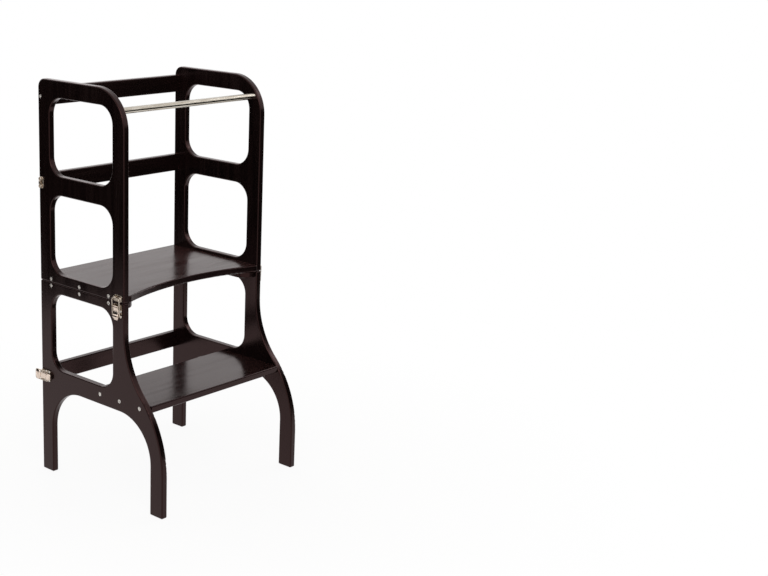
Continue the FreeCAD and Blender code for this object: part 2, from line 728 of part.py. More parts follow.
def make_hinges():
    """Two hinges: leaves, pins and screws."""
    for level, upper in (("lower", False), ("upper", True)):
        master = leaf(level + "_leaf_shape", upper)
        screws = []
        for side_name, side in SIDES.items():
            name = "hinge_leaf_%s_%s" % (level, side_name)
            place = Placement(Vector(side * HINGE_X.number, 0, 0), Rotation())
            piece = placed_body("blank_" + name, master, place)
            places = leaf_screw_places(side, upper)
            keep(name, drilled("cut_" + name, piece, [copies(FLUSH_HOLE.Shape, places)]))
            screws += places
        keep("hinge_screws_" + level, feature(level + "_leaf_screws", copies(FLUSH.Shape, screws)))
    for side_name, side in SIDES.items():
        pin = doc.addObject("Part::Cylinder", "fold_pin_" + side_name)
        pin.setExpression("Radius", d["pin_radius"].text)
        pin.setExpression("Height", d["leaf_width"].text)
        start = side * HINGE_X.number - d["leaf_width"].number / 2
        pin.Placement = Placement(Vector(start, HINGE_Y.number, SEAM.number), Rotation(Vector(0, 1, 0), 90))
        keep("hinge_pin_" + side_name, pin)


# Boards --------------------------------------------------------------------------------------

def window(sketch, foot, head):
    """A rounded window of a side panel, in the YZ plane."""
    corner = d["window_corner"]
    draw_outline(sketch, [
        ("x", BACK - d["side_band"], corner), ("y", head, corner),
        ("x", UPPER_FRONT + d["side_band"], corner), ("y", foot, corner)])


def lower_outline(sketch):
    """The lower panel: upright back, level top, and a front leg that sweeps out to the foot."""
    hollow, swell = d["hollow_radius"], d["swell_radius"]
    swell_centre = FRONT + swell
    hollow_centre = UPPER_FRONT - hollow
    both = hollow.number + swell.number
    turn = math.acos((swell_centre.number - hollow_centre.number) / both)
    hollow_height = d["swell_foot"].number + both * math.sin(turn)
    back, front, upper_front = BACK.number, FRONT.number, UPPER_FRONT.number
    top, foot = LOWER_TOP.number, d["swell_foot"].number
    floor = draw_line(sketch, (front, 0), (back, 0))
    rear = draw_line(sketch, (back, 0), (back, top))
    head = draw_line(sketch, (back, top), (upper_front, top))
    neck = draw_line(sketch, (upper_front, top), (upper_front, hollow_height))
    inward = draw_arc(sketch, (hollow_centre.number, hollow_height), hollow.number, -turn, 0)
    outward = draw_arc(sketch, (swell_centre.number, foot), swell.number, math.pi - turn, math.pi)
    toe = draw_line(sketch, (front, foot), (front, 0))
    for line in (floor, head):
        sketch.addConstraint(Sketcher.Constraint("Horizontal", line))
    for line in (rear, neck, toe):
        sketch.addConstraint(Sketcher.Constraint("Vertical", line))
    for one, other in ((floor, rear), (rear, head), (head, neck), (toe, floor)):
        sketch.addConstraint(Sketcher.Constraint("Coincident", one, 2, other, 1))
    sketch.addConstraint(Sketcher.Constraint("Tangent", neck, 2, inward, 2))
    sketch.addConstraint(Sketcher.Constraint("Tangent", inward, 1, outward, 1))
    sketch.addConstraint(Sketcher.Constraint("Tangent", outward, 2, toe, 1))
    hold_place(sketch, "y", floor, 1, ZERO)
    hold_place(sketch, "x", floor, 1, FRONT)
    hold_place(sketch, "x", rear, 1, BACK)
    hold_place(sketch, "y", head, 1, LOWER_TOP)
    hold_place(sketch, "x", neck, 1, UPPER_FRONT)
    hold_place(sketch, "y", toe, 1, d["swell_foot"])
    hold(sketch, "Radius", (inward,), hollow)
    hold(sketch, "Radius", (outward,), swell)


def panel_edges(body, name):
    """Rounds the outlines of a panel's two faces."""
    half = d["board"].number / 2
    soften(body, name, d["edge_round"], lambda edge: flat_in(edge, 0, half) or flat_in(edge, 0, -half))


def lower_side(name):
    """A lower side panel, flat in the YZ plane, with its arch and window."""
    body = new_body(name)
    add(body, "YZ_Plane", name + "_board", lower_outline, d["board"], symmetric=True)
    arch = d["arch_corner"]
    cut(body, "YZ_Plane", name + "_arch", lambda sketch: draw_outline(sketch, [
        ("x", BACK - d["back_leg"], arch), ("y", d["arch_top"], arch), ("x", FRONT + d["front_leg"]),
        ("y", -d["board"])]), d["board"] * 2, symmetric=True)
    cut(body, "YZ_Plane", name + "_window", lambda sketch: window(
        sketch, d["arch_top"] + d["rail_band"], SEAM - d["seam_band"]), d["board"] * 2, symmetric=True)
    soften(body, name + "_corners", d["corner_round"],
           lambda edge: along_x(edge, 0) or along_x(edge, LOWER_TOP.number))
    panel_edges(body, name + "_edges")
    return body


def upper_side(name):
    """An upper side panel, flat in the YZ plane, with its two windows and rounded crown."""
    body = new_body(name)
    add(body, "YZ_Plane", name + "_board", lambda sketch: draw_outline(sketch, [
        ("x", BACK, d["crown_back"]), ("y", d["height"], d["crown_front"]),
        ("x", UPPER_FRONT), ("y", UPPER_FOOT)]), d["board"], symmetric=True)
    cut(body, "YZ_Plane", name + "_mid_window", lambda sketch: window(
        sketch, SEAM + d["seam_band"], MID_RAIL_PLACE - d["rail_band"] / 2), d["board"] * 2, symmetric=True)
    cut(body, "YZ_Plane", name + "_top_window", lambda sketch: window(
        sketch, MID_RAIL_PLACE + d["rail_band"] / 2, d["height"] - d["top_band"]),
        d["board"] * 2, symmetric=True)
    soften(body, name + "_corners", d["corner_round"], lambda edge: along_x(edge, UPPER_FOOT.number))
    panel_edges(body, name + "_edges")
    return body


def make_sides():
    """The four side panels with their screw holes and the handrail's seats."""
    for side_name, side in SIDES.items():
        low = lower_side("lower_board_" + side_name)
        low.setExpression("Placement.Base.x", ((OUTSIDE - d["board"] / 2) * side).text)
        cutters = [bolt_holes(group, (side,)) for group in LOWER_BOLTS]
        for spot in ("front", "back"):
            cutters.append(copies(DOME_HOLE.Shape, base_screw_places(spot, side)))
        keep("lower_side_" + side_name, drilled("low_side_" + side_name, low, cutters))
        high = upper_side("upper_board_" + side_name)
        high.setExpression("Placement.Base.x", ((OUTSIDE - d["board"] / 2) * side).text)
        cutters = [bolt_holes(group, (side,)) for group in UPPER_BOLTS]
        for spot in ("front", "back"):
            cutters.append(copies(DOME_HOLE.Shape, keeper_screw_places(spot, side)))
        cutters.append(tube_bar(d["tube_radius"] + d["running_clearance"], d["running_clearance"]))
        keep("upper_side_" + side_name, drilled("high_side_" + side_name, high, cutters))


def board_edges(body, name, low, high):
    """Rounds a level board's top and bottom outlines, but not the ends that meet the panels."""
    inside = INSIDE.number

    def chosen(edge):
        level = flat_in(edge, 2, low.number) or flat_in(edge, 2, high.number)
        return level and not flat_in(edge, 0, inside) and not flat_in(edge, 0, -inside)

    soften(body, name, d["edge_round"], chosen)


def bowed_outline(sketch):
    """The upper platform: level back, straight sides and a front edge that bows inward."""
    half_chord = INSIDE - d["bow_flat"]
    bow_radius = (half_chord * half_chord + d["bow_rise"] * d["bow_rise"]) / (d["bow_rise"] * 2)
    bow_y = UPPER_FRONT + d["bow_rise"] - bow_radius
    bow, blend = bow_radius.number, d["bow_blend"].number
    inside, back, front = INSIDE.number, BACK.number, UPPER_FRONT.number
    bow_centre = bow_y.number
    blend_y = front + blend
    blend_x = math.sqrt((bow + blend) ** 2 - (blend_y - bow_centre) ** 2)
    lean = math.atan2(blend_y - bow_centre, blend_x)
    rear = draw_line(sketch, (inside, back), (-inside, back))
    left = draw_line(sketch, (-inside, back), (-inside, front))
    left_flat = draw_line(sketch, (-inside, front), (-blend_x, front))
    left_blend = draw_arc(sketch, (-blend_x, blend_y), blend, -math.pi / 2, -lean)
    middle = draw_arc(sketch, (0, bow_centre), bow, lean, math.pi - lean)
    right_blend = draw_arc(sketch, (blend_x, blend_y), blend, math.pi + lean, math.pi * 1.5)
    right_flat = draw_line(sketch, (blend_x, front), (inside, front))
    right = draw_line(sketch, (inside, front), (inside, back))
    for line in (rear, left_flat, right_flat):
        sketch.addConstraint(Sketcher.Constraint("Horizontal", line))
    for line in (left, right):
        sketch.addConstraint(Sketcher.Constraint("Vertical", line))
    for one, other in ((rear, left), (left, left_flat), (right_flat, right), (right, rear)):
        sketch.addConstraint(Sketcher.Constraint("Coincident", one, 2, other, 1))
    sketch.addConstraint(Sketcher.Constraint("Tangent", left_flat, 2, left_blend, 1))
    sketch.addConstraint(Sketcher.Constraint("Tangent", left_blend, 2, middle, 2))
    sketch.addConstraint(Sketcher.Constraint("Tangent", middle, 1, right_blend, 1))
    sketch.addConstraint(Sketcher.Constraint("Tangent", right_blend, 2, right_flat, 1))
    hold_place(sketch, "y", rear, 1, BACK)
    hold_place(sketch, "x", left, 1, -INSIDE)
    hold_place(sketch, "x", right, 1, INSIDE)
    hold_place(sketch, "y", left_flat, 1, UPPER_FRONT)
    hold_place(sketch, "y", right_flat, 1, UPPER_FRONT)
    hold_place(sketch, "x", middle, 3, ZERO)
    hold_place(sketch, "y", middle, 3, bow_y)
    hold(sketch, "Radius", (middle,), bow_radius)
    hold(sketch, "Radius", (left_blend,), d["bow_blend"])
    hold(sketch, "Radius", (right_blend,), d["bow_blend"])


def make_platforms():
    """The upper platform with its bowed front, and the lower one with the belly cut."""
    upper = new_body("upper_platform_board")
    add(upper, "XY_Plane", "upper_platform_pad", bowed_outline, d["board"], offset=UPPER_FOOT)
    board_edges(upper, "upper_platform_edges", UPPER_FOOT, UPPER_FOOT + d["board"])
    cutters = [bolt_holes("upper_platform_screws")] + leaf_seats(True)
    keep("upper_platform", drilled("upper_platform", upper, cutters))

    lower = new_body("lower_platform_board")
    ear_round, corner = d["ear_round"], d["belly_corner"]
    belly, belly_half = BACK - d["belly_back"], INSIDE - d["ear_width"]
    ear = UPPER_FRONT + d["ear_setback"]
    add(lower, "XY_Plane", "lower_platform_pad", lambda sketch: draw_outline(sketch, [
        ("x", -INSIDE), ("y", ear, ear_round), ("x", -belly_half, corner), ("y", belly, corner),
        ("x", belly_half, ear_round), ("y", ear), ("x", INSIDE), ("y", BACK)]),
        d["board"], offset=LOWER_TOP - d["board"])
    board_edges(lower, "lower_platform_edges", LOWER_TOP - d["board"], LOWER_TOP)
    cutters = [bolt_holes("lower_platform_screws")] + leaf_seats(False)
    keep("lower_platform", drilled("lower_platform", lower, cutters))


def make_step():
    """The step board between the lower panels."""
    body = new_body("step_shape")
    foot = d["step_top"] - d["board"]
    add(body, "XY_Plane", "step_pad", lambda sketch: draw_outline(sketch, [
        ("x", -INSIDE), ("y", STEP_FRONT), ("x", INSIDE), ("y", STEP_BACK)]), d["board"], offset=foot)
    board_edges(body, "step_edges", foot, d["step_top"])
    keep("step_board", drilled("step", body, [bolt_holes("step_screws")]))


def make_rail(name, place, group):
    """A back rail, flush with the back edges of the panels."""
    body = new_body(name + "_shape")
    foot = place - d["rail_height"] / 2
    add(body, "XY_Plane", name + "_pad", lambda sketch: draw_outline(sketch, [
        ("x", -INSIDE), ("y", BACK - d["board"]), ("x", INSIDE), ("y", BACK)]),
        d["rail_height"], offset=foot)
    board_edges(body, name + "_edges", foot, foot + d["rail_height"])
    keep(name, drilled(name + "_cut", body, [bolt_holes(group)]))


def tube_bar(radius, extra):
    """A round bar where the handrail lies; extra makes it longer at each end."""
    half = INSIDE.number + d["tube_seat"].number + extra.number
    origin = Vector(-half, TUBE_Y.number, TUBE_Z.number)
    return Part.makeCylinder(radius.number, half * 2, origin, Vector(1, 0, 0))


def make_tube():
    """The handrail tube, seated in blind bores of the upper panels."""
    outer = doc.addObject("Part::Cylinder", "tube_outer")
    outer.setExpression("Radius", d["tube_radius"].text)
    inner = doc.addObject("Part::Cylinder", "tube_inner")
    inner.setExpression("Radius", (d["tube_radius"] - d["tube_wall"]).text)
    for item in (outer, inner):
        item.setExpression("Height", ((INSIDE + d["tube_seat"]) * 2).text)
        item.setExpression("Placement.Base.x", (-(INSIDE + d["tube_seat"])).text)
        item.setExpression("Placement.Base.y", TUBE_Y.text)
        item.setExpression("Placement.Base.z", TUBE_Z.text)
        item.Placement.Rotation = Rotation(Vector(0, 1, 0), 90)
    tube = doc.addObject("Part::Cut", "tube_hollow")
    tube.Base = outer
    tube.Tool = inner
    keep("handrail_tube", tube)


# The whole ------------------------------------------------------------------------------------

make_sides()
make_platforms()
make_step()
make_rail("lower_back_rail", LOW_RAIL_PLACE, "lower_rail_screws")
make_rail("mid_back_rail", MID_RAIL_PLACE, "mid_rail_screws")
make_rail("top_back_rail", TOP_RAIL_PLACE, "top_rail_screws")
make_tube()
make_bolts()
make_hinges()
make_latches()
doc.recompute()

for item in doc.Objects:
    if "Invalid" in item.State or "Error" in item.State:
        raise RuntimeError("%s failed: %s" % (item.Name, item.State))
for name, item in PARTS.items():
    if item.Shape.isNull() or not item.Shape.isValid() or item.Shape.Volume <= 0:
        raise RuntimeError("%s has no valid shape" % name)

os.makedirs("parts", exist_ok=True)
for name, item in PARTS.items():
    item.Shape.exportStep("parts/%s.step" % name)
print("%d sub-parts" % len(PARTS))
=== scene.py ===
import json
import math

import bmesh
import bpy
from mathutils import Matrix, Vector


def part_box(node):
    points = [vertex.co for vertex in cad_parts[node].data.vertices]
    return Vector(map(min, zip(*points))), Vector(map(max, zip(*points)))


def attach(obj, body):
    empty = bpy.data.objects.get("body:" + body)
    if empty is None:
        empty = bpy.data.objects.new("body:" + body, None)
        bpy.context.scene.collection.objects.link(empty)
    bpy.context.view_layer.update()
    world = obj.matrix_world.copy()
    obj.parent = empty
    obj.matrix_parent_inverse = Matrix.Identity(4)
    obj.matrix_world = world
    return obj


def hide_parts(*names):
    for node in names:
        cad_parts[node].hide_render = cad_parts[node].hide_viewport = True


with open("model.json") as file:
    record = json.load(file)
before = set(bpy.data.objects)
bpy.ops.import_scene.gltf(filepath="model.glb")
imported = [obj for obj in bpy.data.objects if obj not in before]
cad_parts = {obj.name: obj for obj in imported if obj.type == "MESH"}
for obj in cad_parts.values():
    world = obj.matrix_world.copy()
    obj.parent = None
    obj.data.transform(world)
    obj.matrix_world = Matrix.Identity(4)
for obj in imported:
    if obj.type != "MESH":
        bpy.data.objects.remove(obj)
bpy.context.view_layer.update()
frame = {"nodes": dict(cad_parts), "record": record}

# The look of the helper stool: lacquered plywood, bright hardware, a pale floor and soft light.
# Metres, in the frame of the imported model: +Z up, the front towards -Y, the floor at 0.


# Node helpers ----------------------------------------------------------------------------------

WHITE = (1, 1, 1, 1)
BEVEL_SAMPLES = 4


def srgb(red, green, blue):
    """A colour given as 0-255 screen values, turned to linear light."""
    levels = []
    for value in (red, green, blue):
        level = value / 255
        levels.append(level / 12.92 if level <= 0.04045 else ((level + 0.055) / 1.055) ** 2.4)
    return (*levels, 1.0)


class Nodes:
    """A node tree under construction, a material's or the world's."""

    def __init__(self, tree):
        self.tree = tree

    def node(self, kind, **settings):
        """Adds a node; inputs are given as in_Name, with _ for a space."""
        made = self.tree.nodes.new(kind)
        for key, value in settings.items():
            if key.startswith("in_"):
                made.inputs[key[3:].replace("_", " ")].default_value = value
            else:
                setattr(made, key, value)
        return made

    def link(self, output, target):
        self.tree.links.new(output, target)

    def combine(self, operation, first, second):
        """The value of a Math node on two factors or numbers."""
        made = self.node("ShaderNodeMath", operation=operation)
        for place, value in enumerate((first, second)):
            if isinstance(value, (int, float)):
                made.inputs[place].default_value = value
            else:
                self.link(value, made.inputs[place])
        return made.outputs["Value"]

    def backdrop_rays(self):
        """1 for the rays that see the backdrop's own white: camera, glossy and transmission rays."""
        path = self.node("ShaderNodeLightPath")
        seen = path.outputs["Is Camera Ray"]
        for ray in ("Is Glossy Ray", "Is Transmission Ray"):
            seen = self.combine("MAXIMUM", seen, path.outputs[ray])
        return seen

    def show_mix(self, factor, lit, backdrop, surface):
        """Links a mix of two shaders to the tree's surface: lit at factor 0, backdrop at 1."""
        mix = self.node("ShaderNodeMixShader")
        self.link(factor, mix.inputs["Fac"])
        self.link(lit, mix.inputs[1])
        self.link(backdrop, mix.inputs[2])
        self.link(mix.outputs["Shader"], surface)


class Shader(Nodes):
    """A material under construction: a Principled shader and the nodes that feed it."""

    def __init__(self, name):
        self.material = bpy.data.materials.new(name)
        self.material.use_nodes = True
        super().__init__(self.material.node_tree)
        self.principled = self.tree.nodes["Principled BSDF"]

    def set(self, **values):
        """Sets the Principled shader's own sockets, with _ for a space."""
        for key, value in values.items():
            self.principled.inputs[key.replace("_", " ")].default_value = value

    def feed(self, output, socket):
        """Links an output to a socket of the Principled shader."""
        self.link(output, self.principled.inputs[socket])

    def place(self, scale=(1, 1, 1)):
        """Object coordinates, with each axis scaled."""
        coordinates = self.node("ShaderNodeTexCoord")
        mapping = self.node("ShaderNodeMapping", in_Scale=scale)
        self.link(coordinates.outputs["Object"], mapping.inputs["Vector"])
        return mapping.outputs["Vector"]

    def noise(self, place, scale, detail=4, roughness=0.5, distortion=0.0):
        """A noise texture's factor; the scale is in cells per metre."""
        made = self.node("ShaderNodeTexNoise", in_Scale=scale, in_Detail=detail,
                         in_Roughness=roughness, in_Distortion=distortion)
        self.link(place, made.inputs["Vector"])
        return made.outputs["Fac"]

    def ramp(self, factor, span, values=(0, 1)):
        """Maps a factor's span onto two values and clips it there."""
        made = self.node("ShaderNodeMapRange", in_From_Min=span[0], in_From_Max=span[1],
                         in_To_Min=values[0], in_To_Max=values[1])
        self.link(factor, made.inputs["Value"])
        return made.outputs["Result"]

    def blend(self, factor, first, second):
        """A colour between two colours, each a tuple or another node's output."""
        made = self.node("ShaderNodeMix", data_type="RGBA")
        for place, colour in (("A", first), ("B", second)):
            if isinstance(colour, tuple):
                made.inputs[place].default_value = colour
            else:
                self.link(colour, made.inputs[place])
        self.link(factor, made.inputs["Factor"])
        return made.outputs["Result"]

    def rounded(self, radius):
        """The surface's normal with its edges rounded to a radius."""
        return self.node("ShaderNodeBevel", samples=BEVEL_SAMPLES, in_Radius=radius).outputs["Normal"]

    def bump(self, height, strength, distance, before=None):
        """A bump from a height; before is the normal that it is added to."""
        made = self.node("ShaderNodeBump", in_Strength=strength, in_Distance=distance)
        self.link(height, made.inputs["Height"])
        if before is not None:
            self.link(before, made.inputs["Normal"])
        return made.outputs["Normal"]


# Materials -------------------------------------------------------------------------------------

# The lacquer's darker and warmer tones, where it is worn, the tints of its highlights and its sheen,
# and how far the boards' edges are rounded.
LACQUER_DARK = srgb(7, 4, 4)
LACQUER_WARM = srgb(18, 10, 9)
LACQUER_WORN = srgb(32, 24, 23)
LACQUER_HIGHLIGHT = (1.0, 0.5, 0.48, 1)
LACQUER_SHEEN = (1.0, 0.4, 0.36, 1)
BOARD_EDGE = 0.0012

# The grain changes 20 times more slowly along a board than across it. The scales of its fine fibres
# and broad bands, of the spray's pimples and of the clouds in its wear are in cells per metre.
GRAIN_STRETCH = 0.05
FIBRE_SCALE = 520
BAND_SCALE = 42
SPRAY_SCALE = 1100
CLOUD_SCALE = 6

# The fibres' share of the colour, the rest being the bands', and the span of tones it is spread over.
FIBRE_SHARE = 0.4
TONE_SPAN = (0.38, 0.66)

# The film's roughness by the clouds, what the bands add to it, and what full wear adds.
CLOUD_ROUGHNESS = (0.17, 0.23)
BAND_ROUGHNESS = (-0.05, 0.07)
WORN_ROUGHNESS = 0.12

# How well the rounded normal agrees with the true one: from fully on an edge to on the flat.
EDGE_SPAN = (0.72, 0.99)

# The tube runs along X: its scratches are narrow that way, and its streaks are long.
STEEL_DARK = srgb(158, 148, 133)
STEEL_LIGHT = srgb(218, 211, 200)
STEEL_ROUGHNESS = (0.13, 0.24)
ROUND_TUBE = (60, 1, 1)
ALONG_TUBE = (0.03, 1, 1)

# The spans of a noise's factor that the ramps spread out, a narrower one and a wider one.
NARROW = (0.35, 0.65)
WIDE = (0.3, 0.7)


def worn_edges(shader, rounded, cloud):
    """How worn the lacquer is: 0 on the flat, 0.1 to 0.9 along the edges, in patches."""
    flat = shader.node("ShaderNodeNewGeometry").outputs["Normal"]
    match = shader.node("ShaderNodeVectorMath", operation="DOT_PRODUCT")
    shader.link(rounded, match.inputs[0])
    shader.link(flat, match.inputs[1])
    edge = shader.ramp(match.outputs["Value"], EDGE_SPAN, (1, 0))
    return shader.combine("MULTIPLY", edge, shader.ramp(cloud, NARROW, (0.1, 0.9)))


def lacquer(name, grain_axis):
    """Brown-black satin lacquer over plywood whose grain runs along one axis, 0, 1 or 2."""
    shader = Shader(name)
    along = [1.0, 1.0, 1.0]
    along[grain_axis] = GRAIN_STRETCH
    grain_place = shader.place(along)
    plain_place = shader.place()
    fibres = shader.noise(grain_place, FIBRE_SCALE, detail=6, roughness=0.62, distortion=0.4)
    bands = shader.noise(grain_place, BAND_SCALE, detail=4, roughness=0.55, distortion=1.4)
    spray = shader.noise(plain_place, SPRAY_SCALE, detail=2)
    cloud = shader.noise(plain_place, CLOUD_SCALE, detail=3)
    rounded = shader.rounded(BOARD_EDGE)
    worn = worn_edges(shader, rounded, cloud)

    tone = shader.combine("ADD", shader.combine("MULTIPLY", fibres, FIBRE_SHARE),
                          shader.combine("MULTIPLY", bands, 1 - FIBRE_SHARE))
    film = shader.blend(shader.ramp(tone, TONE_SPAN), LACQUER_DARK, LACQUER_WARM)
    shader.feed(shader.blend(worn, film, LACQUER_WORN), "Base Color")

    roughness = shader.combine("ADD", shader.ramp(cloud, WIDE, CLOUD_ROUGHNESS),
                               shader.ramp(bands, WIDE, BAND_ROUGHNESS))
    worn_roughness = shader.combine("MULTIPLY", worn, WORN_ROUGHNESS)
    shader.feed(shader.combine("ADD", roughness, worn_roughness), "Roughness")

    grain = shader.bump(shader.combine("ADD", fibres, bands), strength=0.22, distance=0.00025, before=rounded)
    shader.feed(shader.bump(spray, strength=0.10, distance=0.00005, before=grain), "Normal")
    shader.set(IOR=1.38, Specular_IOR_Level=0.5, Specular_Tint=LACQUER_HIGHLIGHT,
               Sheen_Weight=0.10, Sheen_Roughness=0.3, Sheen_Tint=LACQUER_SHEEN)
    return shader.material


def brushed_steel(name):
    """Brushed stainless tube: fine turned scratches round it and faint drawn streaks along it."""
    shader = Shader(name)
    scratches = shader.noise(shader.place(ROUND_TUBE), scale=70, detail=6, roughness=0.7)
    streaks = shader.noise(shader.place(ALONG_TUBE), scale=700, detail=4, roughness=0.6)
    shader.feed(shader.blend(shader.ramp(streaks, NARROW), STEEL_DARK, STEEL_LIGHT), "Base Color")
    shader.feed(shader.ramp(scratches, WIDE, STEEL_ROUGHNESS), "Roughness")
    shader.feed(shader.bump(scratches, strength=0.1, distance=0.00004), "Normal")
    shader.set(Metallic=1.0, Anisotropic=0.3)
    return shader.material


def plated(name, dark, light, roughness, edge=0.0003):
    """Bright plated metal with soft pressed edges, fine pits, smudges and a slightly uneven polish."""
    shader = Shader(name)
    smudge = shader.noise(shader.place(), scale=260, detail=4, roughness=0.6, distortion=0.8)
    pits = shader.noise(shader.place(), scale=2400, detail=2)
    shader.feed(shader.blend(shader.ramp(smudge, NARROW), dark, light), "Base Color")
    shader.feed(shader.ramp(smudge, NARROW, roughness), "Roughness")
    wavy = shader.bump(smudge, strength=0.25, distance=0.0003, before=shader.rounded(edge))
    shader.feed(shader.bump(pits, strength=0.08, distance=0.00004, before=wavy), "Normal")
    shader.set(Metallic=1.0)
    return shader.material


def make_materials():
    """One material for every slot, the boards' by the way their grain runs."""
    return {
        "upright": lacquer("lacquer_upright", 2),
        "level": lacquer("lacquer_level", 0),
        "brushed_steel_tube": brushed_steel("brushed_steel"),
        "zinc_screws": plated("zinc", srgb(205, 200, 194), srgb(240, 237, 232), (0.38, 0.5), 0.0004),
        # The nickel's tones are darker than the chrome's, partly as the metal is and partly as painted shade
        # for the gap between each lever and its bail wire, where the base plate shows.
        "nickel_hardware": plated("nickel", srgb(128, 116, 104), srgb(214, 200, 184), (0.16, 0.3)),
        "chromed_levers": plated("chrome", srgb(196, 178, 164), srgb(238, 220, 206), (0.12, 0.24)),
        "steel_wire": plated("wire", srgb(160, 148, 136), srgb(216, 202, 188), (0.14, 0.26), 0.0001)}


def dress_nodes(materials):
    """A material for every CAD node, by what it is made of."""
    for part in frame["record"]["subparts"]:
        kind = part["material_slot"]
        if kind == "lacquered_plywood":
            kind = "upright" if "_side_" in part["node"] else "level"
        node = frame["nodes"][part["node"]]
        node.data.materials.clear()
        node.data.materials.append(materials[kind])


# Stamped pieces of the latches -----------------------------------------------------------------
# Local millimetres: u runs along the latch, v across it and w away from the panel.

MM = 0.001
SIDES = {"left": -1, "right": 1}

# The way u points in the tower, from a lever towards its keeper. The back keepers point the other
# way round, because they come to their levers only when the tower is folded.
LEVER_WAY = {"front": (0, 0, 1), "back": (0, 1, 0)}
KEEPER_WAY = {"front": (0, 0, 1), "back": (0, -1, 0)}

# Where the ends of a latch's base and of its keeper that face each other lie along u.
BASE_START = -3.0
KEEPER_START = 2.0

# Along the lever: u, the height of its skin, the height of its flanges' lower edge, which steps up
# where the pivot pin and the bail's ends pass, and half its width.
LEVER_ROWS = [
    (-5.6, 6.4, 5.0, 7.6), (-5.9, 7.2, 4.4, 7.9), (-6.6, 8.1, 4.2, 8.0), (-7.1, 8.5, 4.2, 8.0),
    (-7.25, 8.6, 7.15, 8.0), (-9.0, 9.0, 7.15, 8.0), (-10.8, 8.5, 7.15, 8.0), (-10.95, 8.3, 3.8, 8.0),
    (-12.0, 7.6, 3.7, 8.0), (-14.0, 7.2, 3.7, 8.0), (-19.0, 7.15, 3.7, 8.0), (-23.0, 7.5, 3.7, 8.0),
    (-24.7, 8.2, 3.7, 8.0), (-25.6, 8.9, 3.8, 8.0), (-26.3, 9.4, 3.9, 8.0), (-26.45, 9.5, 7.1, 8.0),
    (-27.5, 10.0, 7.1, 8.0), (-29.0, 10.3, 7.1, 8.0), (-29.65, 10.3, 7.1, 8.0), (-29.8, 10.25, 3.9, 8.0),
    (-31.5, 9.8, 3.8, 7.9), (-33.2, 8.8, 3.7, 7.6), (-34.7, 7.8, 3.7, 7.1), (-36.0, 7.2, 3.9, 6.4),
    (-37.0, 6.8, 4.6, 5.5), (-37.6, 6.4, 5.0, 4.6), (-37.9, 6.0, 5.1, 4.0)]
SHEET = 0.9
LEVER_BEND = 1.5
LEVER_BEND_SHARE = 0.7
LEVER_FLAT_SHARE = 0.32
LEAST_FLANGE = 0.25

# The keeper's plate: how far it reaches along u and to each side, its corners, and the rounding of
# its upper edge as (w, how far the outline is drawn in).
KEEPER_SPAN = (KEEPER_START, 17.0)
KEEPER_HALF = 13.0
KEEPER_ROUND = 5.0
KEEPER_LEVELS = [(0.0, 0.0), (0.8, 0.0), (1.2, 0.25), (1.42, 0.7), (1.5, 1.4)]
CORNER_STEPS = 5

# The hook's outline as (u, w), and its sections as (v, the outline's scale).
HOOK_PROFILE = [
    (5.2, 1.2), (5.2, 3.9), (5.5, 4.9), (6.3, 5.6), (7.6, 5.85), (10.1, 5.9), (10.7, 5.6), (10.9, 5.05),
    (10.6, 4.5), (10.0, 4.35), (8.9, 4.3), (8.2, 3.9), (7.9, 3.2), (7.9, 1.2)]
HOOK_SECTIONS = [(-3.9, 0.9125), (-3.5, 1.0), (3.5, 1.0), (3.9, 0.9125)]

# The raised rims round the keeper's two screws: their middles as (u, v), and their section as
# (radius, w).
RIM_SPOTS = [(9.5, -8.0), (9.5, 8.0)]
RIM_PROFILE = [(5.0, 1.2), (5.0, 3.4), (4.6, 4.8), (3.9, 5.5), (3.1, 5.0), (2.6, 3.8), (2.5, 1.2)]
RIM_STEPS = 20

# The cap of a back bail: its middle along u, its reach along u and v, how square its outline is
# (1 is an ellipse), and the section of its hollow dome, down the inside and up the outside, as
# (share of the reach, w).
CAP_MIDDLE = 3.6
CAP_REACH = (8.4, 12.3)
CAP_SQUARENESS = 0.8
CAP_LEVELS = [
    (0.1, 9.2), (0.5, 8.7), (0.8, 7.6), (0.93, 6.7), (0.97, 6.4), (1.0, 6.55), (1.0, 7.1), (0.96, 8.0),
    (0.85, 9.0), (0.6, 9.8), (0.3, 10.15), (0.08, 10.25)]
CAP_STEPS = 28


def latch_frame(corners, u, w, start):
    """The matrix from a latch's local millimetres to the model, from the box of one of its plates.

    The plate's end that is nearest the origin lies at start along u, and its back face at 0 along w.
    """
    low, high = corners
    u, w = Vector(u), Vector(w)
    v = w.cross(u)
    centre = (low + high) / 2
    half = (high - low) / 2
    reach = sum(half[i] * abs(u[i]) for i in range(3))
    depth = sum(half[i] * abs(w[i]) for i in range(3))
    along = -reach if start > 0 else reach
    origin = centre + u * (along - start * MM) - w * depth
    turn = Matrix((u, v, w)).transposed().to_4x4()
    return Matrix.Translation(origin) @ turn @ Matrix.Scale(MM, 4)


def circle(steps):
    """The cosine and sine of each step round a circle."""
    angles = [2 * math.pi * step / steps for step in range(steps)]
    return [(math.cos(angle), math.sin(angle)) for angle in angles]


def join_rings(built, rings, closed=False):
    """Faces between closed rings of points, with both ends capped or the last ring joined to the first."""
    loops = [[built.verts.new(point) for point in ring] for ring in rings]
    following = loops[1:] + loops[:1] if closed else loops[1:]
    count = len(loops[0])
    for first, second in zip(loops, following):
        for i in range(count):
            after = (i + 1) % count
            built.faces.new((first[i], first[after], second[after], second[i]))
    if not closed:
        built.faces.new(loops[0])
        built.faces.new(list(reversed(loops[-1])))


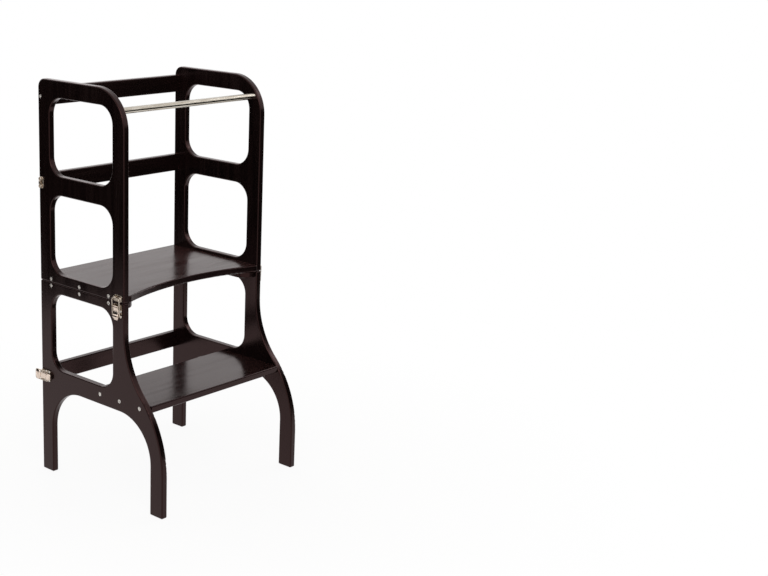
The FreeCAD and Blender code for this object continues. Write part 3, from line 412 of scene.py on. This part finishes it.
def lever_code(built):
    """A lever stamped from sheet: a skin that waves over the finger bump, with turned-down flanges.

    Each section is a ring of points (v, depth below the skin), round its outside and back inside.
    """
    rings = []
    for u, top, foot, half in LEVER_ROWS:
        drop = max(top - foot, SHEET + LEAST_FLANGE)
        bend = min(LEVER_BEND, drop * LEVER_BEND_SHARE)
        flat = half * LEVER_FLAT_SHARE
        outer = [(half, drop), (half, bend), (half - 0.45, bend * 0.3), (half - LEVER_BEND, 0.0),
                 (flat, -0.1)]
        inner = [(flat, SHEET), (half - 1.7, SHEET), (half - 1.1, SHEET + 0.2),
                 (half - SHEET, min(bend + 0.5, drop - 0.05)), (half - SHEET, drop)]
        ring = outer + [(-v, d) for v, d in reversed(outer)]
        ring += [(-v, d) for v, d in reversed(inner)] + inner
        rings.append([(u, v, top - d) for v, d in ring])
    join_rings(built, rings)


def keeper_outline(inset):
    """The outline of the keeper's plate, with rounded corners, drawn in by inset."""
    outline = []
    low, high = KEEPER_SPAN[0] + KEEPER_ROUND, KEEPER_SPAN[1] - KEEPER_ROUND
    side = KEEPER_HALF - KEEPER_ROUND
    reach = KEEPER_ROUND - inset
    for quarter, (u, v) in enumerate(((high, side), (low, side), (low, -side), (high, -side))):
        for step in range(CORNER_STEPS + 1):
            angle = math.radians(90 * quarter + 90 * step / CORNER_STEPS)
            outline.append((u + reach * math.cos(angle), v + reach * math.sin(angle)))
    return outline


def keeper_code(built):
    """A stamped keeper: a dished plate with a curled hook in its middle and a rim round each screw."""
    join_rings(built, [[(u, v, w) for u, v in keeper_outline(inset)] for w, inset in KEEPER_LEVELS])
    middle_u = sum(u for u, w in HOOK_PROFILE) / len(HOOK_PROFILE)
    middle_w = sum(w for u, w in HOOK_PROFILE) / len(HOOK_PROFILE)
    join_rings(built, [[(middle_u + (u - middle_u) * scale, v, middle_w + (w - middle_w) * scale)
                        for u, w in HOOK_PROFILE] for v, scale in HOOK_SECTIONS])
    for u, v in RIM_SPOTS:
        join_rings(built, [[(u + radius * cosine, v + radius * sine, w) for radius, w in RIM_PROFILE]
                           for cosine, sine in circle(RIM_STEPS)], closed=True)


def cap_code(built):
    """The domed cap that closes the free end of a bail."""
    outline = []
    for values in circle(CAP_STEPS):
        outline.append([math.copysign(abs(value) ** CAP_SQUARENESS, value) for value in values])
    join_rings(built, [[(CAP_MIDDLE + CAP_REACH[0] * share * along, CAP_REACH[1] * share * across, w)
                        for along, across in outline] for share, w in CAP_LEVELS])


def make_piece(name, mesh_code, matrix, body, material, levels, node=None):
    """A mesh piece that rides on a body and, where a node is given, stands for it."""
    mesh = bpy.data.meshes.new(name)
    built = bmesh.new()
    mesh_code(built)
    bmesh.ops.recalc_face_normals(built, faces=built.faces)
    bmesh.ops.transform(built, matrix=matrix, verts=built.verts)
    for face in built.faces:
        face.smooth = True
    built.to_mesh(mesh)
    built.free()
    mesh.materials.append(material)
    piece = bpy.data.objects.new(name, mesh)
    bpy.context.scene.collection.objects.link(piece)
    smooth = piece.modifiers.new("smooth", "SUBSURF")
    smooth.levels = smooth.render_levels = levels
    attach(piece, body)
    if node:
        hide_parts(node)


def make_latches(materials):
    """A stamped lever and keeper for each latch, and a cap on the bail of each back one."""
    chrome, nickel = materials["chromed_levers"], materials["nickel_hardware"]
    for spot in ("front", "back"):
        for side_name, side in SIDES.items():
            ending = "_%s_%s" % (spot, side_name)
            out = (side, 0, 0)
            place = latch_frame(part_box("latch_base" + ending), LEVER_WAY[spot], out, BASE_START)
            make_piece("stamped_lever" + ending, lever_code, place, "lever" + ending,
                       chrome, levels=2, node="latch_lever" + ending)
            if spot == "back":
                make_piece("bail_cap" + ending, cap_code, place, "bail" + ending,
                           chrome, levels=2)
            # The keepers take the nickel, whose darker tones are partly painted shade.
            place = latch_frame(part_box("latch_keeper" + ending), KEEPER_WAY[spot], out, KEEPER_START)
            make_piece("stamped_keeper" + ending, keeper_code, place, "upper_frame",
                       nickel, levels=1, node="latch_keeper" + ending)


# Surroundings ----------------------------------------------------------------------------------

FLOOR_REACH = 60.0
FLOOR_COLOUR = (0.84, 0.83, 0.82, 1)
# The backdrop's share of the floor's look: less near the object, where its shadow falls.
FLOOR_SHARES = (0.92, 1.0)
FLOOR_DISTANCES = (0.3, 1.1)
AMBIENT_COLOUR = (1.0, 0.99, 0.98, 1)
AMBIENT_STRENGTH = 0.6

# Black cards beside the set, out of sight, for dark reflections in the lacquer: the ends of each.
FLAGS = {
    "flag_left": ((-2.3, 0.2), (-0.4, 1.9)),
    "flag_right": ((0.1, -1.82), (1.7, -0.38))}
FLAG_TOP = 0.95
FLAG_COLOUR = (0.01, 0.01, 0.01, 1)

# Soft lamps that face the object: place, size and power. A broad one stands above and in front, one
# at the right and one behind.
LAMP_TARGET = (0, 0, 0.5)
LAMPS = {
    "key": ((-1.6, -2.2, 2.6), (1.8, 1.8), 34),
    "fill": ((2.6, -0.8, 1.6), (1.2, 2.0), 16),
    "back": ((0.6, 2.6, 2.4), (2.4, 1.4), 22)}


def make_sheet(name, corners, material):
    """A flat sheet with four corners."""
    mesh = bpy.data.meshes.new(name)
    mesh.from_pydata(corners, [], [(0, 1, 2, 3)])
    mesh.materials.append(material)
    sheet = bpy.data.objects.new(name, mesh)
    bpy.context.scene.collection.objects.link(sheet)
    return sheet


def make_floor():
    """A pale floor: white to the camera apart from the object's soft shadow."""
    shader = Shader("floor")
    coordinates = shader.node("ShaderNodeTexCoord")
    distance = shader.node("ShaderNodeVectorMath", operation="LENGTH")
    shader.link(coordinates.outputs["Object"], distance.inputs[0])
    share = shader.ramp(distance.outputs["Value"], FLOOR_DISTANCES, FLOOR_SHARES)
    shader.set(Base_Color=FLOOR_COLOUR, Roughness=0.9, Specular_IOR_Level=0.1)
    glow = shader.node("ShaderNodeEmission", in_Color=WHITE)
    shader.show_mix(shader.combine("MULTIPLY", shader.backdrop_rays(), share),
                    shader.principled.outputs["BSDF"], glow.outputs["Emission"],
                    shader.tree.nodes["Material Output"].inputs["Surface"])
    reach = FLOOR_REACH
    corners = [(-reach, -reach, 0), (reach, -reach, 0), (reach, reach, 0), (-reach, reach, 0)]
    floor = make_sheet("floor", corners, shader.material)


def make_world():
    """White where it is seen or mirrored; a soft even light for everything else."""
    world = bpy.data.worlds.new("studio")
    bpy.context.scene.world = world
    world.use_nodes = True
    nodes = Nodes(world.node_tree)
    light = nodes.tree.nodes["Background"]
    light.inputs["Color"].default_value = AMBIENT_COLOUR
    light.inputs["Strength"].default_value = AMBIENT_STRENGTH
    backdrop = nodes.node("ShaderNodeBackground", in_Color=WHITE, in_Strength=1.0)
    nodes.show_mix(nodes.backdrop_rays(), light.outputs["Background"], backdrop.outputs["Background"],
                   nodes.tree.nodes["World Output"].inputs["Surface"])


def make_flags():
    """The black cards, which the camera doesn't see."""
    for name, (start, end) in FLAGS.items():
        shader = Shader(name)
        shader.set(Base_Color=FLAG_COLOUR, Roughness=1.0, Specular_IOR_Level=0.0)
        corners = [(*start, 0.0), (*end, 0.0), (*end, FLAG_TOP), (*start, FLAG_TOP)]
        card = make_sheet(name, corners, shader.material)
        card.visible_camera = False
        card.visible_diffuse = False


def make_lights():
    """The soft rectangular lamps."""
    for name, (place, size, power) in LAMPS.items():
        lamp = bpy.data.lights.new(name, "AREA")
        lamp.shape = "RECTANGLE"
        lamp.size, lamp.size_y = size
        lamp.energy = power
        holder = bpy.data.objects.new(name, lamp)
        holder.location = place
        holder.rotation_euler = (Vector(LAMP_TARGET) - Vector(place)).to_track_quat("-Z", "Y").to_euler()
        bpy.context.scene.collection.objects.link(holder)


# The camera: its place, where it looks and its lens, fitted to the photograph.
CAMERA_PLACE = (-2.08882, -2.19006, 1.2569)
CAMERA_AZIMUTH = math.radians(-46.9245)
CAMERA_ELEVATION = math.radians(13.8743)
CAMERA_ROLL = math.radians(1.2503)
CAMERA_SHIFT = (0.18, -0.04)
FOCAL_PIXELS = 1371.88
FRAME_WIDTH_PIXELS = 768
SENSOR_WIDTH = 36.0


def make_camera():
    """The camera of the photograph's view."""
    level = math.cos(CAMERA_ELEVATION)
    back = Vector((math.sin(CAMERA_AZIMUTH) * level, -math.cos(CAMERA_AZIMUTH) * level,
                   math.sin(CAMERA_ELEVATION)))
    right = (-back).cross(Vector((0, 0, 1))).normalized()
    up = back.cross(right)
    turned_right = right * math.cos(CAMERA_ROLL) + up * math.sin(CAMERA_ROLL)
    turned_up = up * math.cos(CAMERA_ROLL) - right * math.sin(CAMERA_ROLL)
    lens = bpy.data.cameras.new("camera")
    lens.sensor_width = SENSOR_WIDTH
    lens.lens = FOCAL_PIXELS * SENSOR_WIDTH / FRAME_WIDTH_PIXELS
    lens.shift_x, lens.shift_y = CAMERA_SHIFT
    camera = bpy.data.objects.new("camera", lens)
    rows = Matrix((turned_right, turned_up, back)).transposed()
    camera.matrix_world = Matrix.Translation(CAMERA_PLACE) @ rows.to_4x4()
    bpy.context.scene.collection.objects.link(camera)
    bpy.context.scene.camera = camera


materials = make_materials()
dress_nodes(materials)
make_latches(materials)
make_floor()
make_world()
make_flags()
make_lights()
make_camera()
bpy.context.scene.view_settings.view_transform = "Standard"
